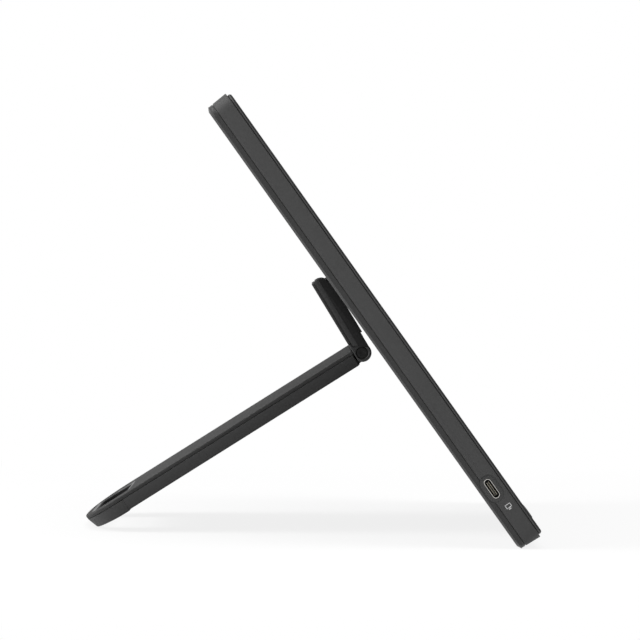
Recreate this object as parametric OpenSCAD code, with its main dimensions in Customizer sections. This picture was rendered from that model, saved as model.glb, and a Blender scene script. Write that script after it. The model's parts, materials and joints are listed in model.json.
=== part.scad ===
// Portable monitor with a folding rear stand.
// The monitor is drawn lying on its back: x across, y up the screen from the lower edge,
// z from the rear panel (0) to the screen side. place_monitor() then leans it back.
// The stand is a short link plate hinged to the back and a long leg hinged to the link.

/* [Casing] */
// Width of the casing
case_w = 356; // [330:1:380]
// Height of the casing, lower edge to upper edge
case_h = 219.9; // [205:0.1:235]
// Thickness of the casing
case_t = 11.65; // [11.6:0.05:13]
// Corner radius of the casing, seen from the front
case_r = 6; // [5:0.5:9]
// Wall of the middle frame and of the rear panel's rim
wall = 2.2; // [1.8:0.1:2.6]
// Thickness of the rear panel at its rim
rear_t = 3; // [2.7:0.1:3.2]
// Floor of the rear panel
floor_t = 1.6; // [1.4:0.1:1.8]
// Chamfer of the rear edge, measured across the back
edge_w = 2.3; // [1.2:0.1:2.4]
// Chamfer of the rear edge, measured in the thickness
edge_h = 1; // [0.8:0.1:1.6]
// Depth of the groove between rear panel and middle frame
groove = 0.45; // [0.3:0.05:0.6]
// Draft of the side walls, total inset at the groove
draft = 0.4; // [0.2:0.05:0.6]
// Thickness of the front bezel
bezel_t = 1.65; // [1.5:0.05:1.7]
// Inset of the bezel from the side walls
bezel_inset = 1.1; // [0.8:0.1:1.4]

/* [Screen] */
// Border of the casing beside the picture
side_border = 5.9; // [5.3:0.1:12]
// Border of the casing above the picture
top_border = 6; // [5.6:0.1:12]
// Border of the casing below the picture
low_border = 20.3; // [19:0.1:30]
// How far the panel glass runs under the bezel
glass_lap = 1.6; // [1:0.1:1.8]
// Thickness of the panel glass
glass_t = 1.1; // [1:0.05:1.1]
// Thickness of the film stack
film_t = 0.35; // [0.3:0.05:0.35]
// Thickness of the light guide
guide_t = 1.3; // [1.2:0.05:1.3]
// Thickness of the metal tray behind the panel
tray_t = 0.3; // [0.2:0.05:0.35]

/* [Ports and buttons] */
// Height of the ports above the lower edge
port_y = 27.5; // [27:0.1:40]
// Height of the ports above the rear face
port_z = 5.15; // [5.05:0.05:5.15]
// Width of the finger recess around a port
recess_w = 12.3; // [11.5:0.1:14]
// Height of the finger recess around a port
recess_h = 7; // [6:0.1:7.1]
// Depth of the finger recess around a port
recess_d = 0.7; // [0.5:0.1:1]
// Diameter of a front button
button_d = 5.2; // [4.5:0.1:7]
// How far a front button stands proud
button_proud = 0.3; // [0.25:0.05:0.6]
// Travel of a front button
button_travel = 0.25; // [0.15:0.05:0.25]
// Height of the buttons above the lower edge
button_y = 10.3; // [10:0.1:12]
// Distance of the first button from the left side
button_x = 12.5; // [11:0.1:20]
// Spacing of the buttons
button_gap = 12; // [10:0.5:16]

/* [Stand] */
// Width of the stand
stand_w = 153; // [130:1:170]
// Height of the upper hinge above the lower edge
hinge_y = 132.45; // [125:0.05:140]
// Distance of the upper hinge axis behind the back
hinge_out = 3.65; // [3.65:0.05:4.6]
// Distance between the link's two hinge axes
link_len = 32.3; // [30:0.1:40]
// Opening of the link from the back, in degrees, as it stands
link_open = 4.15; // [2:0.05:8]
// From the hinge axes to the link's outer face
link_outer = 3.4; // [3.2:0.05:3.6]
// Radius of the barrel that joins link and leg, also the link's inner half
barrel_r = 3.9; // [3.8:0.05:3.95]
// Height of the pad on the link's inner face
pad_h = 0.65; // [0.5:0.05:0.65]
// Thickness of the link's outer cover
lid_t = 1.1; // [0.9:0.1:1.3]
// Length of the leg from the barrel to its tip
leg_len = 140.4; // [130:0.1:146]
// Thickness of the leg
leg_t = 6.8; // [6.3:0.1:7]
// Thickness of the leg's upper shell
leg_lid = 1.15; // [0.9:0.05:1.3]
// Corner radius of the leg's tip, seen from above
leg_r = 19; // [8:1:20]
// Length of the rubber nose
nose_len = 20.9; // [18:0.1:26]
// Length of the finger slot along the leg
slot_l = 15.4; // [12:0.1:16]
// Width of the finger slot across the leg
slot_w = 86; // [50:1:100]
// From the leg's tip to the middle of the finger slot
slot_at = 13.4; // [13:0.1:26]
// Diameter of the hinge pins
pin_d = 3.2; // [2.8:0.1:3.6]
// Length of a barrel ear across the stand
ear_w = 9; // [7:0.5:14]
// Lean of the monitor from the table, in degrees
lean = 54.25; // [50:0.05:60]
// Running clearance of pins and knuckles
run = 0.05; // [0.03:0.01:0.08]
// Gap between moving faces
gap = 0.3; // [0.25:0.05:0.35]

/* [Hidden] */
$fn = 48;
e = 0.01;

// levels through the thickness, from the rear face
frame_z = rear_t + 0.05;
bezel_z = case_t - bezel_t;
glass_z = bezel_z - glass_t;
film_z = glass_z - film_t;
guide_z = film_z - guide_t;
tray_z = guide_z - tray_t - 0.1;
ledge_t = 1;
ledge_z = tray_z - ledge_t;

// places across the screen side
view_w = case_w - 2 * side_border;
view_h = case_h - top_border - low_border;
view_y = low_border + view_h / 2;
glass_w = view_w + 2 * glass_lap;
glass_h = view_h + 2 * glass_lap;
glass_low = view_y - glass_h / 2;
tray_w = glass_w + 1;
tray_h = glass_h + 1;
inner_w = case_w - 2 * (wall + draft);
inner_h = case_h - 2 * (wall + draft);
fit_gap = 0.1;

// boards behind the panel
board_t = 1;
board_z = port_z - 1.58 - board_t - 0.02;
board_y0 = port_y - 10;
board_h = 26;
board_left = -inner_w / 2 + 0.5;
board_l = 99.9;
side_board_l = 24.9;
flex_x = [board_left + 57.4, board_left + 136.9];
post_d = 5;
screw_d = 2;

// port
port_w = 8.94;
port_h = 3.16;
port_l = 7.3;
port_wall = 0.3;
port_out = 0.15;

// stand pocket in the back
foot_top = hinge_y + 9;
pocket_d = 0.9;
pocket_top = foot_top + 0.5;
pocket_low = hinge_y - link_len - 4.4;
pocket_w = stand_w + 2;
knuckle_x = [stand_w / 2 - 30.5, stand_w / 2 - 14.5];
knuckle_r = 3.3;
lug_w = 9;
ear_x = stand_w / 2 - ear_w;
cap_r = 2.6;
cap_t = 1;
cap_sink = 0.25;
pin_r = pin_d / 2;
fit = 0.02;
link_end = link_outer + 0.7;
link_rows = [12, link_len - 7.6];
lid_start = barrel_r + 1.8;
seam = 0.15;

// leg, along it from the barrel (a) and across its thickness (b, up)
leg_top = leg_t / 2 - 0.4;
leg_low = leg_top - leg_t;
leg_start = barrel_r + 0.1;
leg_end = link_outer + 0.15;
stop_start = link_outer + 0.05;
lid_low = leg_top - leg_lid;
nose_start = leg_len - nose_len;
nose_drop = 0.4;
nose_r = 1.35;
nose_a = leg_len - 3.2;
nose_rake = 1.9;
nose_b = leg_low + 1.55;
tip_depth = leg_r + 1;
tip_power = 2.45;
cavity_wall = 1.5;
core_t = 1.2;
slot_a = leg_len - slot_at;

// places in the part's own frame
contact_drop = draft * sin(lean) + edge_h * cos(lean);
bezel_round = 1;
front_reach = (bezel_inset + bezel_round) * cos(lean) - (case_t - bezel_round) * sin(lean) - bezel_round;
barrel_u = hinge_y - link_len * cos(link_open);
barrel_w = -hinge_out - link_len * sin(link_open);
barrel_up = barrel_u * sin(lean) + barrel_w * cos(lean) - contact_drop;
nose_reach = norm([nose_a, nose_b]);
leg_dip = asin((barrel_up - nose_r) / nose_reach) - atan2(-nose_b, nose_a);
barrel_back = barrel_u * cos(lean) - barrel_w * sin(lean);
tip_back = barrel_back + leg_len * cos(leg_dip) + leg_top * sin(leg_dip);
shift_y = -(front_reach + tip_back) / 2;

module place_monitor() {
    translate([0, shift_y, -contact_drop]) rotate([lean, 0, 0]) children();
}

module place_link() {
    translate([0, barrel_back + shift_y, barrel_up]) rotate([lean + link_open, 0, 0]) children();
}

module place_leg() {
    translate([0, barrel_back + shift_y, barrel_up]) rotate([-leg_dip, 0, 0]) children();
}

// plate centred on x with its lower edge at y = 0; its edge follows points of [inset, z], low to high
module edged_plate(w, h, r, points) {
    last = len(points) - 1;
    outline = concat([[0, points[0][1]]], [for (p = points) [r - p[0], p[1]]], [[0, points[last][1]]]);
    translate([0, h / 2, 0]) {
        for (turn = [0, 180]) rotate([0, 0, turn]) {
            translate([w / 2 - r, h / 2 - r, 0]) rotate([90, 0, 0])
                linear_extrude(h - 2 * r) polygon(outline);
            translate([w / 2 - r, h / 2 - r, 0]) rotate_extrude(angle = 90) polygon(outline);
            rotate([0, 0, 90]) translate([h / 2 - r, w / 2 - r, 0]) {
                rotate([90, 0, 0]) linear_extrude(w - 2 * r) polygon(outline);
                rotate_extrude(angle = 90) polygon(outline);
            }
        }
        translate([r - w / 2, r - h / 2, points[0][1]])
            cube([w - 2 * r, h - 2 * r, points[last][1] - points[0][1]]);
    }
}

// plain plate with rounded corners, centred on x, lower edge at y
module plate(w, h, r, y, z, t) {
    translate([0, y, z]) linear_extrude(t) union() {
        translate([-w / 2 + r, 0]) square([w - 2 * r, h]);
        translate([-w / 2, r]) square([w, h - 2 * r]);
        for (x = [-w / 2 + r, w / 2 - r], v = [r, h - r]) translate([x, v]) circle(r);
    }
}

// upright stadium, long side along y, standing through x from x0 to x1
module side_stadium(w, h, x0, x1) {
    translate([x0, port_y, port_z]) rotate([90, 0, 90]) linear_extrude(x1 - x0) union() {
        translate([-(w - h) / 2, -h / 2]) square([w - h, h]);
        for (v = [-1, 1]) translate([v * (w - h) / 2, 0]) circle(h / 2);
    }
}

// round bar along x
module bar_x(r, x0, x1) {
    translate([x0, 0, 0]) rotate([90, 0, 90]) cylinder(r = r, h = x1 - x0);
}

module both_sides() {
    children();
    mirror([1, 0, 0]) children();
}

function frame_screw_places() = let (x = inner_w / 2 - 2.6, top = case_h - wall - draft - 2.6,
        low = wall + draft + 2.8) [
    for (s = [-1, 1]) each [[s * x, 0.274 * case_h], [s * x, 0.685 * case_h], [s * x, top - 6],
        [s * 0.31 * case_w, top], [s * 0.31 * case_w, low]],
    [0, top], [0, low]];

function board_rows() = [board_y0 + 3.5, board_y0 + board_h - 3.5];
function main_board_places() = [for (x = [board_left + 6.9, board_left + board_l - 9], y = board_rows()) [x, y]];
function side_board_places() = [for (y = board_rows()) [-board_left - side_board_l + 10, y]];
function board_screw_places() = concat(main_board_places(), side_board_places());
function bracket_screw_places() = [for (s = [-1, 1], x = [knuckle_x[0] + 4, knuckle_x[1] - 4]) [s * x, foot_top - 2.8]];
function button_places() = [for (i = [0:2]) -case_w / 2 + button_x + i * button_gap];

module rear_panel() {
    side_in = draft + 0.15;
    color([0.29, 0.29, 0.3]) place_monitor() difference() {
        union() {
            difference() {
                edged_plate(case_w, case_h, case_r, [[edge_w, 0], [draft, edge_h],
                    [side_in, rear_t - groove], [side_in + groove, rear_t]]);
                plate(inner_w, inner_h, case_r - wall, wall + draft, floor_t, rear_t);
            }
            plate(pocket_w + 8, pocket_top - pocket_low + 8, 3, pocket_low - 4, floor_t - e, 0.8 + e);
            for (p = frame_screw_places()) translate([p[0], p[1], floor_t - e])
                cylinder(d = post_d, h = ledge_z - fit - floor_t);
            for (p = board_screw_places()) translate([p[0], p[1], floor_t - e])
                cylinder(d = post_d, h = board_z - fit - floor_t);
        }
        plate(pocket_w, pocket_top - pocket_low, 2, pocket_low, -e, pocket_d + e);
        for (p = frame_screw_places()) translate([p[0], p[1], floor_t])
            cylinder(d = screw_d + 2 * fit, h = ledge_z);
        for (p = board_screw_places()) translate([p[0], p[1], 0.6])
            cylinder(d = screw_d + 2 * fit, h = ledge_z);
        for (p = bracket_screw_places()) translate([p[0], p[1], 0])
            cylinder(d = screw_d + 2 * fit, h = ledge_z);
        both_sides() side_stadium(recess_w + 2 * fit_gap, recess_h + 2 * fit_gap, inner_w / 2 - 1, case_w);
    }
}

module main_frame() {
    color([0.27, 0.27, 0.28]) place_monitor() difference() {
        union() {
            difference() {
                edged_plate(case_w, case_h, case_r, [[draft + groove, frame_z], [draft, frame_z + groove],
                    [0, bezel_z - 0.3], [0.25, bezel_z - fit]]);
                plate(inner_w, inner_h, case_r - wall, wall + draft, 0, case_t);
            }
            difference() {
                plate(inner_w + 1, inner_h + 1, case_r - wall, wall + draft - 0.5, ledge_z, ledge_t);
                plate(view_w - 4, view_h - 4, 3, view_y - view_h / 2 + 2, 0, case_t);
            }
            translate([-inner_w / 2 - 0.5, glass_low - 2.1, ledge_z])
                cube([inner_w + 1, 1.2, bezel_z - ledge_z - 0.1]);
            both_sides() side_stadium(recess_w, recess_h, inner_w / 2, case_w / 2 - 0.6 * recess_d - 0.1);
            for (x = button_places()) translate([x, button_y - 4.4, tray_z - e])
                cylinder(d = 3, h = 0.4);
        }
        both_sides() {
            side_stadium(recess_w, recess_h, case_w / 2 - recess_d, case_w);
            side_stadium(port_w + 2 * fit_gap, port_h + 2 * fit_gap, case_w / 2 - recess_d - port_l - 1, case_w);
        }
        for (p = frame_screw_places()) translate([p[0], p[1], ledge_z - 1]) {
            cylinder(d = screw_d + 2 * fit_gap, h = 4);
            translate([0, 0, 1 + ledge_t - 0.5]) cylinder(d = 3.8, h = 3);
        }
        for (x = flex_x) translate([x - 2, glass_low - 3, tray_z + 0.4]) cube([16, 6, 1.2]);
        translate([board_left + 24.9, wall + draft + 2, ledge_z - 1]) cube([10, 4, 4]);
    }
}

module front_bezel() {
    arc = [for (t = [0:15:90]) [bezel_inset + bezel_round * (1 - cos(t)),
        case_t - bezel_round + bezel_round * sin(t)]];
    color([0.2, 0.2, 0.21]) place_monitor() difference() {
        edged_plate(case_w, case_h, case_r, concat([[bezel_inset + 0.45, bezel_z],
            [bezel_inset + 0.45, case_t - bezel_round - e]], arc));
        plate(view_w, view_h, 0.6, view_y - view_h / 2, 0, case_t + 1);
        for (x = button_places()) translate([x, button_y, 0])
            cylinder(d = button_d + 2 * fit_gap, h = case_t + 1);
    }
}

module screen_glass() {
    color([0.05, 0.05, 0.06]) place_monitor() plate(glass_w, glass_h, 0.8, glass_low, glass_z, glass_t - fit);
}

module optical_films() {
    each_t = film_t / 2 - fit;
    color([0.93, 0.93, 0.95]) place_monitor() for (i = [0, 1])
        plate(glass_w - 1, glass_h - 1, 0.8, glass_low + 0.5, film_z + i * film_t / 2, each_t);
}

module light_guide() {
    color([0.8, 0.9, 0.95]) place_monitor()
        plate(glass_w - 1, glass_h - 3, 0.5, glass_low + 2.5, guide_z, guide_t - fit);
}

module led_strip() {
    color([0.95, 0.93, 0.7]) place_monitor() {
        translate([-glass_w / 2 + 1, glass_low + 0.4, guide_z])
            cube([glass_w - 2, 0.6, guide_t - fit]);
        for (i = [-17:17]) translate([i * (glass_w - 4.4) / 35 - 1.8, glass_low + 1.02, guide_z + 0.2])
            cube([3.6, 1.2, guide_t - 0.4]);
    }
}

module panel_tray() {
    color([0.75, 0.76, 0.78]) place_monitor() difference() {
        plate(tray_w, tray_h, 1, glass_low - 0.5, tray_z, glass_z - tray_z - 0.1);
        plate(tray_w - 2 * tray_t, tray_h - 2 * tray_t, 0.7, glass_low - 0.5 + tray_t, tray_z + tray_t, glass_z);
    }
}

module main_board() {
    color([0.05, 0.3, 0.2]) place_monitor() {
        difference() {
            translate([board_left, board_y0, board_z]) cube([board_l, board_h, board_t]);
            for (p = main_board_places()) translate([p[0], p[1], 0])
                cylinder(d = screw_d + 2 * fit_gap, h = case_t);
        }
        difference() {
            translate([-board_left - side_board_l, board_y0, board_z])
                cube([side_board_l, board_h, board_t]);
            for (p = side_board_places()) translate([p[0], p[1], 0])
                cylinder(d = screw_d + 2 * fit_gap, h = case_t);
        }
    }
}

module board_chips() {
    top = board_z + board_t;
    color([0.12, 0.12, 0.13]) place_monitor() {
        translate([board_left, port_y, top]) {
            translate([44.9, -6, 0]) cube([12, 12, 1]);
            translate([66.9, -4, 0]) cube([8, 8, 0.9]);
            translate([24.9, -3, 0]) cube([6, 6, 1.1]);
            translate([82.9, 2, 0]) cube([5, 4, 0.8]);
            translate([89.9, -4, 0]) cube([6, 12, 1.2]);
            for (i = [0:3]) translate([14.9 + i * 9, -8.8, 0]) cube([3.2, 2.5, 1.2]);
        }
        translate([-board_left - side_board_l + 2, port_y - 8, top]) cube([4, 10, 1.2]);
    }
}

// metal shell of the port on the right side
module port_shell() {
    out = case_w / 2 - recess_d + port_out;
    difference() {
        side_stadium(port_w, port_h, out - port_l, out);
        side_stadium(port_w - 2 * port_wall, port_h - 2 * port_wall, out - port_l + 1, case_w);
    }
}

// contact tongue of the port on the right side
module port_tongue() {
    out = case_w / 2 - recess_d + port_out;
    translate([out - port_l + 1 + e, port_y - 3.35, port_z - 0.35]) cube([port_l - 2, 6.7, 0.7]);
}

module port_shell_right() { color([0.7, 0.69, 0.66]) place_monitor() port_shell(); }

module port_shell_left() { color([0.7, 0.69, 0.66]) place_monitor() mirror([1, 0, 0]) port_shell(); }

module port_tongue_right() { color([0.1, 0.1, 0.1]) place_monitor() port_tongue(); }

module port_tongue_left() { color([0.1, 0.1, 0.1]) place_monitor() mirror([1, 0, 0]) port_tongue(); }

// flat cable from the main board round the tray to the panel glass
module panel_flex() {
    flex_t = 0.2;
    low = glass_low - 1.6;
    color([0.75, 0.5, 0.15]) place_monitor() for (x = flex_x) translate([x, 0, 0]) {
        translate([0, low - 2.6, tray_z + 1.0]) cube([12, 3.6, flex_t]);
        translate([0, low - 2.6, tray_z + 0.3]) cube([12, flex_t, 0.9]);
        translate([0, low - 2.6, tray_z + 0.3]) cube([12, 1.2, flex_t]);
    }
}

module button_board() {
    xs = button_places();
    color([0.05, 0.3, 0.2]) place_monitor() difference() {
        translate([xs[0] - 5, button_y - 6, tray_z + 0.4]) cube([xs[2] - xs[0] + 26, 9.5, board_t - 0.2]);
        for (x = xs) translate([x, button_y - 4.4, 0]) cylinder(d = screw_d + 2 * fit_gap, h = case_t);
    }
}

module button_switches() {
    base = tray_z + 0.4 + board_t - 0.2;
    color([0.15, 0.15, 0.16]) place_monitor() for (x = button_places()) {
        translate([x - 1.8, button_y - 1.8, base]) cube([3.6, 3.6, 0.6]);
        translate([x, button_y, base + 0.6 - e]) cylinder(d = 1.6, h = 0.25 + e);
    }
}

module button_flex() {
    x = button_places()[2] + 9;
    color([0.75, 0.5, 0.15]) place_monitor()
        translate([x, button_y - 3, tray_z + 0.4 + board_t - 0.2]) cube([8, 4, 0.25]);
}

// cap with its skirt under the bezel
module button_cap(x) {
    base = tray_z + 0.4 + board_t + 0.4 + 0.25;
    skirt_top = bezel_z - fit;
    translate([x, button_y, 0]) {
        translate([0, 0, bezel_z - 0.6]) cylinder(d = button_d + 1.2, h = 0.6 - fit);
        translate([0, 0, base + button_travel + 0.05])
            cylinder(d = 2.4, h = bezel_z - 0.5 - base - button_travel);
        translate([0, 0, bezel_z - 0.1]) cylinder(d = button_d, h = bezel_t + button_proud - 0.15);
        translate([0, 0, case_t + button_proud - 0.3]) cylinder(d1 = button_d, d2 = button_d - 0.5, h = 0.3);
    }
}

module button_power() { color([0.16, 0.16, 0.17]) place_monitor() button_cap(button_places()[0]); }

module button_minus() { color([0.16, 0.16, 0.17]) place_monitor() button_cap(button_places()[1]); }

module button_plus() { color([0.16, 0.16, 0.17]) place_monitor() button_cap(button_places()[2]); }

module stand_plate() {
    low = floor_t + 0.8 + fit;
    color([0.6, 0.61, 0.62]) place_monitor() difference() {
        plate(stand_w - 6, 24, 2, foot_top - 22, low, 1.2);
        for (p = bracket_screw_places()) translate([p[0], p[1], 0])
            cylinder(d = screw_d + 2 * fit, h = case_t);
    }
}

module hinge_brackets() {
    color([0.35, 0.35, 0.36]) place_monitor() both_sides() difference() {
        union() {
            translate([0, hinge_y, -hinge_out]) bar_x(knuckle_r, knuckle_x[0], knuckle_x[1]);
            translate([knuckle_x[0], hinge_y - knuckle_r, -hinge_out])
                cube([knuckle_x[1] - knuckle_x[0], 2 * knuckle_r, hinge_out + pocket_d - fit]);
            translate([knuckle_x[0], hinge_y, fit])
                cube([knuckle_x[1] - knuckle_x[0], foot_top - hinge_y, pocket_d - 2 * fit]);
        }
        translate([0, hinge_y, -hinge_out]) bar_x(pin_r + fit, 0, stand_w);
        for (p = bracket_screw_places()) translate([abs(p[0]), p[1], -e]) {
            cylinder(d = screw_d + 2 * fit, h = 3);
            cylinder(d = 3.7, h = 0.5);
        }
    }
}

module hinge_pins() {
    color([0.7, 0.7, 0.72]) place_monitor() both_sides()
        translate([0, hinge_y, -hinge_out]) bar_x(pin_r, knuckle_x[0] - lug_w, knuckle_x[1] + lug_w - 1);
}

module frame_screws() {
    color([0.2, 0.2, 0.2]) place_monitor() for (p = frame_screw_places())
        translate([p[0], p[1], floor_t + 0.4]) {
            cylinder(d = screw_d, h = ledge_z + ledge_t - 0.5 - floor_t - 0.4 + e);
            translate([0, 0, ledge_z + ledge_t - 0.5 - floor_t - 0.4]) cylinder(d = 3.6, h = 0.45);
        }
}

module board_screws() {
    color([0.7, 0.7, 0.7]) place_monitor() {
        for (p = board_screw_places()) translate([p[0], p[1], board_z - 1.2]) {
            cylinder(d = screw_d, h = board_t + 1.2 + e);
            translate([0, 0, board_t + 1.2]) cylinder(d = 3.6, h = 0.9);
        }
        for (x = button_places()) translate([x, button_y - 4.4, tray_z + 0.4 + board_t - 0.2])
            cylinder(d = 3, h = 0.5);
    }
}

module bracket_screws() {
    color([0.25, 0.25, 0.25]) place_monitor() for (p = bracket_screw_places())
        translate([p[0], p[1], fit]) {
            cylinder(d = 3.6, h = 0.45);
            cylinder(d = screw_d, h = floor_t + 0.8 + 1.2);
        }
}

// side view of the link as a solid bar: y along it from the barrel, z towards the monitor
module link_profile(x0, x1, low, start) {
    translate([x0, 0, 0]) rotate([90, 0, 90]) linear_extrude(x1 - x0) union() {
        translate([start, low]) square([link_len - start, barrel_r - low]);
        translate([link_len, 0]) intersection() {
            circle(barrel_r);
            translate([-barrel_r, 0]) square(2 * barrel_r);
        }
        translate([link_len, low]) square([link_end, -low]);
        if (start == 0) circle(barrel_r);
    }
}

module link_body() {
    color([0.13, 0.13, 0.14]) place_link() difference() {
        union() {
            link_profile(-stand_w / 2, stand_w / 2, -link_outer + lid_t + fit, lid_start);
            both_sides() intersection() {
                link_profile(ear_x, stand_w / 2, -link_outer, 0);
                translate([0, -barrel_r, -barrel_r]) cube([stand_w, barrel_r + lid_start + 1, 2 * barrel_r]);
            }
        }
        bar_x(barrel_r + gap, -ear_x, ear_x);
        translate([-ear_x, -barrel_r, -barrel_r]) cube([2 * ear_x, barrel_r, 3 * barrel_r]);
        both_sides() {
            translate([ear_x - e, lid_start + seam - 0.05, -link_outer - e])
                cube([ear_w + 1, 2, lid_t + fit + e]);
            bar_x(pin_r + fit, ear_x - 1, stand_w);
            bar_x(cap_r + fit, stand_w / 2 - cap_t - cap_sink, stand_w);
            translate([knuckle_x[0] - gap, link_len - knuckle_r - 1.1, -2 * barrel_r])
                cube([knuckle_x[1] - knuckle_x[0] + 2 * gap, 2 * barrel_r + 4, 4 * barrel_r]);
            translate([0, link_len, 0]) bar_x(pin_r + run, 5, knuckle_x[1] + lug_w - 0.8);
            translate([0, link_len, 0]) bar_x(pin_r + run, 5, knuckle_x[0]);
            for (y = link_rows) translate([20, y, -link_outer + lid_t]) cylinder(d = screw_d + 2 * fit, h = 5);
        }
    }
}

module link_cover() {
    color([0.16, 0.16, 0.17]) place_link() difference() {
        translate([-stand_w / 2, lid_start + seam, -link_outer])
            cube([stand_w, link_len + link_end - lid_start - seam, lid_t]);
        both_sides() {
            translate([knuckle_x[0] - gap, link_len - knuckle_r - 1.1, -2 * barrel_r])
                cube([knuckle_x[1] - knuckle_x[0] + 2 * gap, 2 * barrel_r + 4, 4 * barrel_r]);
            for (y = link_rows) translate([20, y, -link_outer - e]) {
                cylinder(d = screw_d + 2 * fit, h = 5);
                cylinder(d = 3.8, h = 0.55);
            }
        }
    }
}

module link_pad() {
    start = barrel_r + 3.8;
    color([0.1, 0.1, 0.1]) place_link() difference() {
        translate([-stand_w / 2, start, barrel_r]) cube([stand_w, link_len - knuckle_r - 2 - start, pad_h]);
        both_sides() translate([stand_w / 2 - 3, start + 2, barrel_r + pad_h - 0.3])
            cube([4, link_len, 1]);
    }
}

module link_screws() {
    color([0.25, 0.25, 0.25]) place_link() both_sides() for (y = link_rows)
        translate([20, y, -link_outer + 0.05]) {
            cylinder(d = 3.6, h = 0.45);
            cylinder(d = screw_d, h = lid_t + 2.6);
        }
}

module barrel_pins() {
    color([0.7, 0.7, 0.72]) place_link() both_sides()
        bar_x(pin_r, ear_x - 14, stand_w / 2 - cap_t - cap_sink - fit);
}

module barrel_caps() {
    color([0.09, 0.09, 0.09]) place_link() both_sides()
        bar_x(cap_r, stand_w / 2 - cap_t - cap_sink, stand_w / 2 - cap_sink);
}

// half-outline of the leg seen from above, straight sides and a bowed round-cornered tip
function tip_point(t) = [stand_w / 2 * pow(cos(t), 2 / tip_power),
    leg_len - tip_depth + tip_depth * pow(sin(t), 2 / tip_power)];

module leg_plan(start, low, high) {
    points = concat([for (t = [0:6:90]) tip_point(t)], [for (t = [84:-6:0]) let (p = tip_point(t)) [-p[0], p[1]]]);
    translate([0, 0, low]) linear_extrude(high - low)
        polygon(concat([[-stand_w / 2, start], [stand_w / 2, start]], points));
}

module slot_hole() {
    translate([0, slot_a, -leg_t]) linear_extrude(2 * leg_t) union() {
        square([slot_w - slot_l, slot_l], center = true);
        for (s = [-1, 1]) translate([s * (slot_w - slot_l) / 2, 0]) circle(slot_l / 2);
    }
}

// side view of the rubber nose, drawn along x
module nose_profile() {
    translate([-stand_w / 2, 0, 0]) rotate([90, 0, 90]) linear_extrude(stand_w) union() {
        polygon([[nose_start, lid_low - fit], [nose_start, leg_low - nose_drop],
            [nose_start + 5, leg_low - nose_drop], [nose_a - 0.3, nose_b - nose_r],
            [nose_a + nose_r, nose_b + 0.1], [leg_len - 0.55, nose_b + 2.1],
            [leg_len - 0.05, lid_low - fit]]);
        translate([nose_a, nose_b]) circle(nose_r);
    }
}

function leg_screw_places() = [for (s = [-1, 1], a = [12, nose_start / 2, nose_start - 14]) [s * (ear_x - 7), a]];

module leg_shell() {
    color([0.18, 0.18, 0.19]) place_leg() difference() {
        union() {
            difference() {
                leg_plan(leg_end, leg_low, lid_low - fit);
                translate([-leg_len, nose_start - fit, -leg_t]) cube([2 * leg_len, leg_len, 2 * leg_t]);
                both_sides() bar_x(leg_start, ear_x - gap, stand_w);
            }
            translate([-ear_x + gap, stop_start, leg_low]) cube([2 * (ear_x - gap), 2, lid_low - fit - leg_low]);
            translate([-ear_x + gap, 0, leg_low + 0.5]) cube([2 * (ear_x - gap), stop_start + e, -leg_low - 0.5]);
            bar_x(barrel_r - 0.1, -ear_x + gap, ear_x - gap);
        }
        translate([-ear_x + 3, leg_start + 1.5, leg_low + cavity_wall])
            cube([2 * (ear_x - 3), nose_start - leg_start - 4, leg_t]);
        both_sides() bar_x(pin_r + run, ear_x - 14.5, stand_w);
        slot_hole();
        for (p = leg_screw_places()) translate([p[0], p[1], leg_low - e]) {
            cylinder(d = screw_d + 2 * fit, h = leg_t);
            cylinder(d = 3.8, h = 0.7);
        }
    }
}

module leg_core() {
    color([0.62, 0.63, 0.65]) place_leg() difference() {
        translate([-ear_x + 3.2, leg_start + 1.7, leg_low + cavity_wall + fit])
            cube([2 * (ear_x - 3.2), nose_start - leg_start - 4.4, core_t]);
        for (p = leg_screw_places()) translate([p[0], p[1], -leg_t]) cylinder(d = 5.4, h = 2 * leg_t);
        for (a = [30:24:nose_start - 30], x = [-24, 0, 24]) translate([x, a, -leg_t]) cylinder(d = 14, h = 2 * leg_t);
    }
}

module leg_cover() {
    color([0.33, 0.33, 0.34]) place_leg() difference() {
        union() {
            leg_plan(leg_end, lid_low, leg_top);
            for (p = leg_screw_places()) translate([p[0], p[1], leg_low + 1.6])
                cylinder(d = 5, h = lid_low - leg_low - 1.6 + e);
            translate([-ear_x + 6, leg_start + 6, leg_low + cavity_wall + core_t + 2 * fit])
                cube([2 * (ear_x - 6), 2, lid_low - leg_low - cavity_wall - core_t]);
        }
        slot_hole();
        for (p = leg_screw_places()) translate([p[0], p[1], leg_low]) cylinder(d = screw_d + 2 * fit, h = leg_t - 1.4);
    }
}

module leg_nose() {
    color([0.24, 0.24, 0.25]) place_leg() difference() {
        intersection() {
            nose_profile();
            hull() {
                leg_plan(leg_start, lid_low - fit - e, lid_low - fit);
                translate([0, -nose_rake, 0]) leg_plan(leg_start, leg_low - nose_drop - e, leg_low - nose_drop);
            }
        }
        slot_hole();
    }
}

module leg_screws() {
    color([0.2, 0.2, 0.2]) place_leg() for (p = leg_screw_places()) translate([p[0], p[1], leg_low + 0.1]) {
        cylinder(d = 3.6, h = 0.55);
        cylinder(d = screw_d, h = leg_t - 2.6);
    }
}

rear_panel();
main_frame();
front_bezel();
screen_glass();
optical_films();
light_guide();
panel_tray();
led_strip();
main_board();
board_chips();
port_shell_left();
port_shell_right();
port_tongue_left();
port_tongue_right();
panel_flex();
button_board();
button_switches();
button_flex();
button_power();
button_minus();
button_plus();
stand_plate();
hinge_brackets();
hinge_pins();
frame_screws();
board_screws();
bracket_screws();
link_body();
link_cover();
link_pad();
link_screws();
barrel_pins();
barrel_caps();
leg_shell();
leg_cover();
leg_core();
leg_nose();
leg_screws();
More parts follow.
